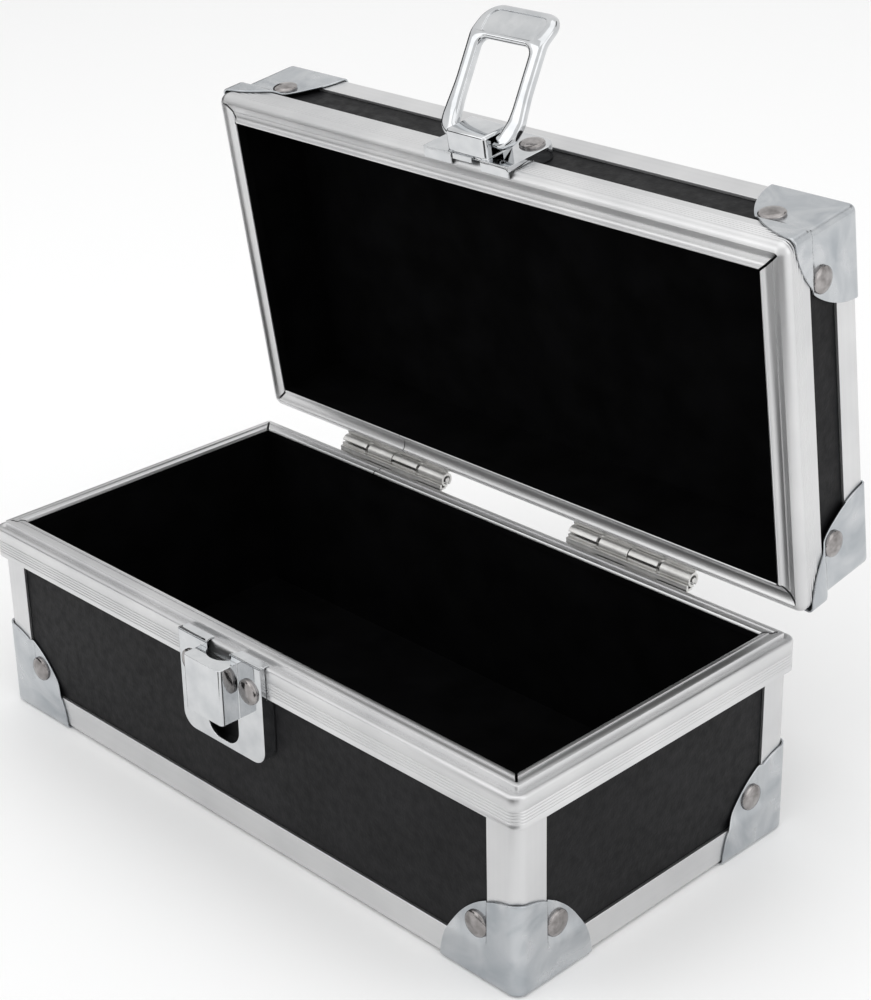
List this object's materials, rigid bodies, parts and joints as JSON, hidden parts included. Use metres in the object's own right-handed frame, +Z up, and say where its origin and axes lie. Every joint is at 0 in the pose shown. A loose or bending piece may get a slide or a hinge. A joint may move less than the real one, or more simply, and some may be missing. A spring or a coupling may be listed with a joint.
{
  "type": "cash box",
  "caption": "Small framed cash box with black board walls, metal edging and corner caps, a hinged lid and a swinging loop latch.",
  "frame": {"origin": "middle of the body's footprint, on the plane that its bottom corner caps stand on; the underside mount is on the bottom board, 1.1 mm above it", "axes": "+Z up; X along the length, parallel to the hinge pin; the latch and keeper are on the -Y side and the hinges on the +Y side"},
  "size_m": [0.1872, 0.1288, 0.1807],
  "materials": {
    "satin_aluminium": "satin, with fine lines along each extrusion",
    "black_board": "fibreboard faced with black pebbled plastic laminate",
    "felt_lining": "matt black flocked sheet",
    "cap_steel": "bright zinc plate on pressed steel",
    "rivet_nickel": "dark nickel plate",
    "latch_chrome": "polished chrome plate",
    "hinge_steel": "nickel plate on rolled steel"
  },
  "bodies": {
    "tray": {"back_panel": "black_board", "body_lining": "felt_lining", "body_rim": "satin_aluminium", "bottom_cap_back_left": "cap_steel", "bottom_cap_back_right": "cap_steel", "bottom_cap_front_left": "cap_steel", "bottom_cap_front_right": "cap_steel", "bottom_edge_back": "satin_aluminium", "bottom_edge_front": "satin_aluminium", "bottom_edge_left": "satin_aluminium", "bottom_edge_right": "satin_aluminium", "bottom_panel": "black_board", "front_panel": "black_board", "hinge_body_rivet_1": "rivet_nickel", "hinge_body_rivet_2": "rivet_nickel", "hinge_body_rivet_3": "rivet_nickel", "hinge_body_rivet_4": "rivet_nickel", "hinge_left_body_leaf": "hinge_steel", "hinge_left_pin": "hinge_steel", "hinge_right_body_leaf": "hinge_steel", "hinge_right_pin": "hinge_steel", "keeper_plate": "latch_chrome", "keeper_rivet_1": "rivet_nickel", "keeper_rivet_2": "rivet_nickel", "left_panel": "black_board", "post_back_left": "satin_aluminium", "post_back_right": "satin_aluminium", "post_front_left": "satin_aluminium", "post_front_right": "satin_aluminium", "right_panel": "black_board"},
    "lid": {"hinge_left_lid_leaf": "hinge_steel", "hinge_lid_rivet_1": "rivet_nickel", "hinge_lid_rivet_2": "rivet_nickel", "hinge_lid_rivet_3": "rivet_nickel", "hinge_lid_rivet_4": "rivet_nickel", "hinge_right_lid_leaf": "hinge_steel", "latch_base": "latch_chrome", "latch_rivet_1": "rivet_nickel", "latch_rivet_2": "rivet_nickel", "lid_back_panel": "black_board", "lid_cap_back_left": "cap_steel", "lid_cap_back_right": "cap_steel", "lid_cap_front_left": "cap_steel", "lid_cap_front_right": "cap_steel", "lid_edge_back": "satin_aluminium", "lid_edge_front": "satin_aluminium", "lid_edge_left": "satin_aluminium", "lid_edge_right": "satin_aluminium", "lid_front_panel": "black_board", "lid_left_panel": "black_board", "lid_lining": "felt_lining", "lid_right_panel": "black_board", "lid_rim": "satin_aluminium", "lid_top_panel": "black_board"},
    "loop": {"latch_loop": "latch_chrome"}
  },
  "joints": [
    {"name": "lid_hinge", "type": "hinge", "parent": "tray", "child": "lid", "pos_m": [0, 0.0497, 0.053], "axis": [-1, 0, 0], "range_deg": [-81.4, 0]},
    {"name": "loop_hinge", "type": "hinge", "parent": "lid", "child": "loop", "pos_m": [0, 0.03793, 0.15357], "axis": [-1, 0, 0], "range_deg": [-124.2, 0]}
  ]
}
